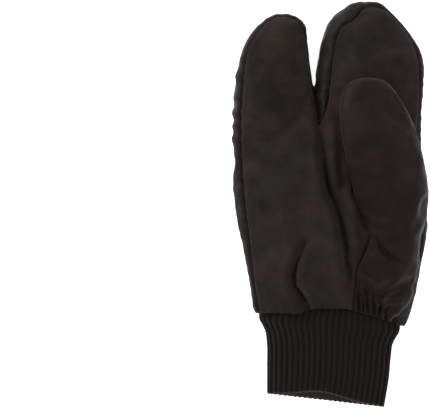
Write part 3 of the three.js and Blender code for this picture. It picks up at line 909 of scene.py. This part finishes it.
def shaped_shell(table, faces, columns):
    """The outside of the padded shell with its seams, folds and gathers, and the smooth wall behind it."""
    points, normals = table[:, :3], table[:, 3:6]
    normals = unit(normals)
    fields = {name: table[:, column] for name, column in columns.items()}
    on_thumb = smooth_step(-2, 2, fields["thumb"])
    points = let_thumb_down(points, normals, on_thumb)
    up = smooth_step(-0.1, 0.35, normals[:, 2])
    sides = {
        "palm": up * (1 - on_thumb),
        "thumb": up * on_thumb,
        "back": smooth_step(0.15, -0.3, normals[:, 2]) * (1 - on_thumb * (points[:, 2] > 26)),
    }
    # Inside the hem nothing is shaped, because the cuff lies there.
    outward = smooth_step(-3, 1, outside_of(HAND, points) + 2 * on_thumb)
    relief = fold_relief(points, sides, fold_paths()) * outward

    # The palm's seam puckers the cloth beside it, more in some places than in others.
    along = fields["along"]
    loose = 0.5 + 0.5 * np.sin(along / 13 + 2 * np.sin(along / 31))
    pucker = loose * np.cos(2 * math.pi * along / SEAM_PUCKER_PITCH + 1.5 * np.sin(along / 11))
    beside = bell(fields["palm"], PUCKER_REACH) * (1 - on_thumb)
    relief += SEAM_PUCKER * pucker * beside * outward

    # The nylon at the little finger's side is drawn into short bulges by its seam.
    y = points[:, 1]
    left_side = smooth_step(-56, -64, points[:, 0]) * smooth_step(0, 34, y) * smooth_step(108, 96, y)
    left_side *= 0.65 + 0.35 * np.sin(y / 8.3 + 1)
    turn = 2 * math.pi * (y - SIDE_BULGE_Y) / SIDE_BULGE_PITCH + 1.2 * np.sin(y / 9)
    relief += left_side * SIDE_BULGE * np.cos(turn)

    soft = sum(height * drift(points, size, seed) for size, seed, height in DRIFTS)
    calm = 0.6 + 0.4 * smooth_step(0, -3, fields["palm"]) - 0.2 * on_thumb
    relief += soft * calm * outward
    relief = neighbour_mean(relief, edges_of(faces), 2)
    relief += fold_relief(points, sides, gather_paths()) * outward

    away = seam_distance(fields)
    # A seam that runs over an edge of the outline leaves hardly a notch in it.
    seen = 0.25 + 0.75 * smooth_step(0.1, 0.5, np.abs(normals[:, 2]))
    relief -= SEAM_DEPTH * seen * bell(away, SEAM_WIDTH) * outward
    relief += SEAM_LIP * bell(away - 2.6 * SEAM_WIDTH, 1.5 * SEAM_WIDTH) * outward
    resting = pressed_flat(points, GROUND_SOFT)
    outside = pressed_flat(resting + normals * relief[:, None], GROUND_SOFT / 3)
    lining = resting + normals * np.minimum(relief + FOLD_WALL, 0)[:, None]
    return close_fork(arch_hem(lining)), close_fork(arch_hem(outside)), normals


def panel_of(table, faces, columns):
    """Which panel each triangle belongs to."""
    middle = {name: table[faces, column].mean(axis=1) for name, column in columns.items()}
    cases = [(middle["thumb"] > 0) & (middle["front"] > 0)]
    cases += [middle[name] > 0 for name in ("thumb", "palm", "gusset", "patch")]
    return np.select(cases, ["thumb_front", "thumb_back", "palm", "gusset", "patch"], "back")


def cloth_position(points):
    """Where each point lies on the flat cloth: it runs down the sides instead of along the ground."""
    x, y, z = points.T
    middle, reach = 17, 18
    down = np.clip(np.abs(z - middle), 0, reach)
    return np.stack([x + np.sign(x) * (reach - down), y], axis=1)


def panel_object(name, outside, inside, flats, faces):
    """One panel with its wall: the outer face, the inner face and the cut edge between them.

    flats holds a place for every point in each UV layer.
    """
    used, local = np.unique(faces, return_inverse=True)
    local = local.reshape(-1, 3)
    count = len(used)
    sides = local[:, [0, 1, 1, 2, 2, 0]].reshape(-1, 2)
    keys = sides[:, 0] * count + sides[:, 1]
    twins = sides[:, 1] * count + sides[:, 0]
    cut = ~np.isin(keys, twins)
    first, second = sides[cut].T
    # The cut edge stays back from the neighbour panel's edge.
    across = local[:, [2, 0, 1]].ravel()[cut]
    pull = np.zeros((count, 3))
    shown = outside[used]
    edge = shown[second] - shown[first]
    inward = shown[across] - shown[first]
    inward -= edge * ((inward * edge).sum(1) / np.maximum((edge * edge).sum(1), 1e-9))[:, None]
    for end in (first, second):
        np.add.at(pull, end, unit(inward))
    pull = SEAM_GAP * unit(pull)
    rim = np.hstack([(second, first, first + count), (second, first + count, second + count)]).T
    points = np.vstack([shown + pull, inside[used] + pull])
    all_faces = np.vstack([local, local[:, ::-1] + count, rim])
    panel = mesh_object(name, points, all_faces)
    corners = corners_of(panel) % count
    for layer_name, flat in flats.items():
        add_uv_layer(panel, layer_name, flat[used][corners] * MM)
    panel.data.shade_smooth()
    return panel


def build_panels():
    skin = build_skin()
    rest = points_of(skin)
    fields = seam_fields(rest)
    away = seam_distance(fields)
    level = rest[:, 1] - HEM_SLANT * rest[:, 0]
    held = np.maximum(smooth_step(*HELD_BY_SEAM, away), smooth_step(*HELD_BY_HEM, level))
    puff(skin, held)
    still = add_object("still", skin.data.copy())
    put_points(still, rest)
    for thing in (skin, still):
        thing.modifiers.new("Fine", "SUBSURF").levels = 1
        apply_modifiers(thing)
    table, faces, columns = shell_table(skin, points_of(still))
    bpy.data.objects.remove(still)
    bpy.data.objects.remove(skin)
    smooth, outside, normals = shaped_shell(table, faces, columns)
    panels = {}
    which = panel_of(table, faces, columns)
    for name, wall in WALLS.items():
        inside = smooth - normals * wall
        flats = {"cloth": cloth_position(smooth)}
        if name in STITCHED:
            from_edge, along = (table[:, columns[field]] for field in STITCHED[name])
            flats["stitches"] = np.stack([along, from_edge], axis=1)
        panels[name] = panel_object(name, outside, inside, flats, faces[which == name])
    return panels


def build_cuff():
    """The rib-knit cuff: an outer wall, a rounded hem and an inner wall, all of them ribbed."""
    sides = RIBS * RIB_POINTS
    rows = smooth_rows(CUFF, CUFF_RINGS)
    angle = np.linspace(0, 2 * math.pi, sides, endpoint=False)
    crest = 0.5 + 0.5 * np.cos(RIBS * angle)  # 1 on top of a rib, 0 between two

    def wall(rows, inset, depth):
        rings = section_rings(rows, sides, -inset)
        side = rows[:, None, 4]
        lean = rows[:, None, 7]
        # An even step along the section keeps every rib as wide as its neighbour.
        rings = even_steps(rings)
        normal = ring_normals(rings)
        rings = rings + normal * (depth * (crest**0.6 - 1))[None, :, None]
        x, y, z = np.moveaxis(rings, 2, 0)
        lift = CUFF_LIFT * bell(x - CUFF_LIFT_X, CUFF_LIFT_WIDTH) * smooth_step(0, 6, z - side)
        rings[:, :, 1] = y + lean * (z - side) + lift * smooth_step(*CUFF_LIFT_Y, y)
        return rings

    outer = wall(rows, 0, RIB_DEPTH)
    inner = wall(rows[::-1], CUFF_WALL, RIB_DEPTH_INSIDE)
    hem_turn = []
    bulge = np.array([0, -1, 0]) * (CUFF_WALL / 2) * (0.8 + 0.5 * crest)[:, None]
    for turn in np.linspace(0, math.pi, 8)[1:-1]:
        mix = (1 - math.cos(turn)) / 2
        hem_turn.append(outer[-1] * (1 - mix) + inner[0] * mix + bulge * math.sin(turn))
    rings = np.concatenate([outer, np.array(hem_turn), inner])
    faces = ring_faces(len(rings), sides)
    last = (len(rings) - 1) * sides
    step = np.arange(sides)
    closing = np.stack([last + step, last + (step + 1) % sides, (step + 1) % sides, step], axis=1)
    cuff = mesh_object("rib_cuff", rings.reshape(-1, 3), np.vstack([faces, closing]))
    ring, step = np.divmod(corners_of(cuff), sides)
    # At the seam of the tube the last column meets the first one.
    wraps = step.reshape(-1, 4).max(axis=1, keepdims=True) == sides - 1
    step = np.where(wraps & (step.reshape(-1, 4) == 0), sides, step.reshape(-1, 4)).ravel()
    down = np.concatenate([[0], np.cumsum(np.linalg.norm(np.diff(rings, axis=0), axis=2).mean(axis=1))])
    down -= down[len(outer) + len(hem_turn) // 2]
    add_uv_layer(cuff, "knit", np.stack([step / RIB_POINTS, down[ring] * MM], axis=1))
    cuff.data.shade_smooth()
    return cuff


def even_steps(rings):
    """Spreads each ring's points evenly along it."""
    spread = np.empty_like(rings)
    share = np.linspace(0, 1, rings.shape[1], endpoint=False)
    for index, ring in enumerate(rings):
        loop = np.vstack([ring, ring[:1]])
        at = distance_along(loop)
        for axis in range(3):
            spread[index, :, axis] = np.interp(share * at[-1], at, loop[:, axis])
    return spread


def ring_normals(rings):
    """The outward direction at each point of a ring, seen along Y."""
    along = np.roll(rings, -1, axis=1) - np.roll(rings, 1, axis=1)
    normal = np.stack([along[:, :, 2], 0 * along[:, :, 1], -along[:, :, 0]], axis=2)
    return unit(normal)


def node(tree, kind, inputs=None, **settings):
    """Adds a node; each input is a value or the socket that feeds it."""
    made = tree.nodes.new(kind)
    for name, value in settings.items():
        setattr(made, name, value)
    for name, value in (inputs or {}).items():
        if isinstance(value, bpy.types.NodeSocket):
            tree.links.new(value, made.inputs[name])
        else:
            made.inputs[name].default_value = value
    return made


def maths(tree, operation, first, second=0.0):
    return node(tree, "ShaderNodeMath", {0: first, 1: second}, operation=operation).outputs[0]


def wave(tree, value, rate, kind="SINE"):
    """The sine, or the cosine, of a value times a rate."""
    return maths(tree, kind, maths(tree, "MULTIPLY", value, rate))


def uv_parts(tree, layer):
    """The two numbers of a place in a UV layer."""
    place = node(tree, "ShaderNodeUVMap", uv_map=layer).outputs["UV"]
    parts = node(tree, "ShaderNodeSeparateXYZ", {"Vector": place}).outputs
    return parts["X"], parts["Y"]


def ramp(tree, value, none, full):
    """0 where a value is none, 1 where it is full, and a smooth rise between."""
    return node(
        tree,
        "ShaderNodeMapRange",
        {"Value": value, "From Min": none, "From Max": full},
        interpolation_type="SMOOTHSTEP",
    ).outputs["Result"]


def stretched(tree, value, none, full, low=0.0, high=1.0):
    """Stretches a value that runs from none to full, so that it runs from low to high."""
    limits = {"Value": value, "From Min": none, "From Max": full, "To Min": low, "To Max": high}
    return node(tree, "ShaderNodeMapRange", limits).outputs["Result"]


def scaled_noise(tree, place, scale, detail=2.0, roughness=0.5):
    settings = {"Vector": place, "Scale": scale, "Detail": detail, "Roughness": roughness}
    return node(tree, "ShaderNodeTexNoise", settings).outputs["Fac"]


def blended(tree, share, first, second):
    """A colour between two others, each of them a colour or the socket that feeds it."""
    mix = node(tree, "ShaderNodeMix", {"Factor": share}, data_type="RGBA")
    for socket, colour in ((mix.inputs[6], first), (mix.inputs[7], second)):
        if isinstance(colour, bpy.types.NodeSocket):
            tree.links.new(colour, socket)
        else:
            socket.default_value = (*colour, 1)
    return mix.outputs[2]


def mottled(tree, place, scale, dark, light, detail=4.0):
    """A colour that drifts between two tones."""
    cloud = scaled_noise(tree, place, scale, detail)
    return blended(tree, stretched(tree, cloud, *NOISE_RANGE), dark, light)


def finish_material(material, colour, roughness, heights, shine):
    """Joins colour, roughness and bumps in the shader. heights are rows of height, strength and distance."""
    tree = material.node_tree
    shader = tree.nodes["Principled BSDF"]
    tree.links.new(colour, shader.inputs["Base Color"])
    tree.links.new(roughness, shader.inputs["Roughness"])
    normal = None
    for height, strength, distance in heights:
        bump = node(tree, "ShaderNodeBump", {"Height": height, "Strength": strength, "Distance": distance})
        if normal:
            tree.links.new(normal, bump.inputs["Normal"])
        normal = bump.outputs["Normal"]
    tree.links.new(normal, shader.inputs["Normal"])
    for name, value in shine.items():
        shader.inputs[name].default_value = value
    return material


def new_material(name):
    material = bpy.data.materials.new(name)
    material.use_nodes = True
    tree = material.node_tree
    place = node(tree, "ShaderNodeTexCoord").outputs["Object"]
    return material, tree, place


def woven_nylon():
    """Satin nylon with a fine plain weave and small crumples."""
    material, tree, place = new_material("woven_nylon")
    across, along = uv_parts(tree, "cloth")
    warp, weft = (wave(tree, part, math.pi / THREAD) for part in (across, along))
    weave = maths(tree, "ABSOLUTE", maths(tree, "MULTIPLY", warp, weft))
    crumple = scaled_noise(tree, place, 160, 3, 0.55)
    grain = scaled_noise(tree, place, 900, 2)
    rough = stretched(tree, crumple, *NOISE_RANGE, 0.5, 0.62)
    heights = ((crumple, 0.28, 0.0011), (grain, 0.12, 0.0004), (weave, 0.25, 0.00015))
    colour = mottled(tree, place, 70, NYLON_DARK, NYLON_LIGHT)
    return finish_material(material, colour, rough, heights, SATIN)


def napped_suede():
    """Matte synthetic suede: a short nap, brushed lighter and darker in patches."""
    material, tree, place = new_material("napped_suede")
    brushed = scaled_noise(tree, place, 45, 4, 0.6)
    nap = scaled_noise(tree, place, 2600, 3, 0.7)
    pile = scaled_noise(tree, place, 700, 3, 0.6)
    rough = stretched(tree, brushed, *NOISE_RANGE, 0.86, 0.97)
    tone = maths(tree, "MULTIPLY_ADD", nap, 0.35)
    tree.links.new(brushed, tone.node.inputs[2])
    light = mottled(tree, place, 22, SUEDE_COOL, SUEDE_WARM, 2.0)
    suede = blended(tree, stretched(tree, tone, 0.5, 0.86), SUEDE_DARK, light)

    # The stitches are short threads in a shallow furrow. A piece without the layer reads zero and has none.
    along, inward = uv_parts(tree, "stitches")
    off_row = maths(tree, "ABSOLUTE", maths(tree, "SUBTRACT", inward, SEWN_IN))
    furrow = ramp(tree, off_row, 2.4 * SEWN_HALF_WIDTH, 0)
    step = wave(tree, along, 2 * math.pi / SEWN_PITCH)
    thread = maths(tree, "MULTIPLY", ramp(tree, off_row, SEWN_HALF_WIDTH, 0), ramp(tree, step, -0.75, -0.35))
    stitches = maths(tree, "SUBTRACT", maths(tree, "MULTIPLY", thread, 1.3), furrow)
    heights = ((brushed, 0.2, 0.0015), (pile, 0.35, 0.0005), (nap, 0.4, 0.00025), (stitches, 0.9, 0.0004))
    return finish_material(material, blended(tree, thread, suede, SEWING_THREAD), rough, heights, MATT)


def rib_knit():
    """Rib knit: two columns of V stitches on every rib, with a fuzzy yarn, painted shade in the valleys
    between the ribs and a painted highlight along the hem.

    The UV layer counts ribs across and metres from the hem along.
    """
    material, tree, place = new_material("rib_knit")
    across, along = uv_parts(tree, "knit")
    column = maths(tree, "FRACT", maths(tree, "MULTIPLY", across, WALES_PER_RIB))
    off_centre = maths(tree, "ABSOLUTE", maths(tree, "SUBTRACT", column, 0.5))
    row = maths(tree, "DIVIDE", along, STITCH)
    slanted = maths(tree, "FRACT", maths(tree, "ADD", row, maths(tree, "MULTIPLY", off_centre, 1.5)))
    loop = wave(tree, slanted, math.pi)
    leg = wave(tree, off_centre, 2 * math.pi)
    stitch = maths(tree, "MULTIPLY", loop, maths(tree, "ADD", maths(tree, "MULTIPLY", leg, 0.7), 0.3))
    fuzz = scaled_noise(tree, place, 1800, 3, 0.7)
    patch = scaled_noise(tree, place, 60, 3)
    # Painted shade: the yarn's colour is a little darker in the valleys between the ribs and lighter on their
    # crests.
    painted_rib_shade = wave(tree, across, 2 * math.pi, "COSINE")
    tone = maths(tree, "ADD", maths(tree, "MULTIPLY", stitch, 0.5), maths(tree, "MULTIPLY", fuzz, 0.4))
    tone = maths(tree, "ADD", tone, maths(tree, "MULTIPLY", painted_rib_shade, 0.08))
    yarn = blended(tree, tone, KNIT_DARK, KNIT_LIGHT)
    # Painted highlight: the yarn turns lighter towards the hem, and on the inside it reaches further in,
    # lifting the shade under the upper layer.
    outside, inside = (maths(tree, "MULTIPLY", along, share) for share in (-1.0, HEM_HIGHLIGHT_INSIDE))
    hem_highlight = ramp(tree, maths(tree, "MAXIMUM", outside, inside), 0.0026, 0.0008)
    rough = stretched(tree, patch, *NOISE_RANGE, 0.85, 0.95)
    heights = ((stitch, 0.6, 0.0006), (fuzz, 0.3, 0.0003))
    return finish_material(material, blended(tree, hem_highlight, yarn, KNIT_HEM_HIGHLIGHT), rough, heights, MATT)


def build_stage():
    """A plain white floor, larger than any view of the mitt."""
    bpy.ops.mesh.primitive_plane_add(size=FLOOR_SIZE, location=(0, 0, 0))
    floor = bpy.context.active_object
    floor.name = "floor"
    paper = bpy.data.materials.new("white_paper")
    paper.use_nodes = True
    shader = paper.node_tree.nodes["Principled BSDF"]
    for name, value in PAPER.items():
        shader.inputs[name].default_value = value
    floor.data.materials.append(paper)


def add_light(name, place, target, size, power):
    data = bpy.data.lights.new(name, "AREA")
    data.shape = "DISK"
    data.size = size
    data.energy = power
    lamp = add_object(name, data)
    lamp.location = place
    lamp.rotation_euler = (Vector(target) - Vector(place)).to_track_quat("-Z", "Y").to_euler()


def build_lights():
    world = bpy.data.worlds.new("studio")
    world.use_nodes = True
    background = world.node_tree.nodes["Background"]
    background.inputs["Color"].default_value = (1, 1, 1, 1)
    background.inputs["Strength"].default_value = WORLD_STRENGTH
    bpy.context.scene.world = world
    bpy.context.scene.view_settings.view_transform = "Standard"
    for name, place, size, power in LAMPS:
        add_light(name, place, LAMPS_AIM, size, power)


def build_camera():
    """Straight above, with the mitt on the right of the picture."""
    data = bpy.data.cameras.new("camera")
    data.lens = LENS
    data.sensor_width = SENSOR
    camera = add_object("camera", data)
    camera.location = (PICTURE_X * MM, PICTURE_Y * MM, PICTURE_WIDTH * MM * LENS / SENSOR + MIDDLE_Z * MM)
    bpy.context.scene.camera = camera


build_camera()
build_lights()
build_stage()
panels = build_panels()
cuff = build_cuff()
nylon = woven_nylon()
suede = napped_suede()
knit = rib_knit()

for name, node_name, material, slot in PANEL_FINISHES:
    piece = panels[name]
    piece.name = node_name + "_cloth"
    piece.data.materials.append({"nylon": nylon, "suede": suede}[material])
    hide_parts(node_name)
    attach(piece, "root")
cuff.data.materials.append(knit)
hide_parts("cuff")
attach(cuff, "root")
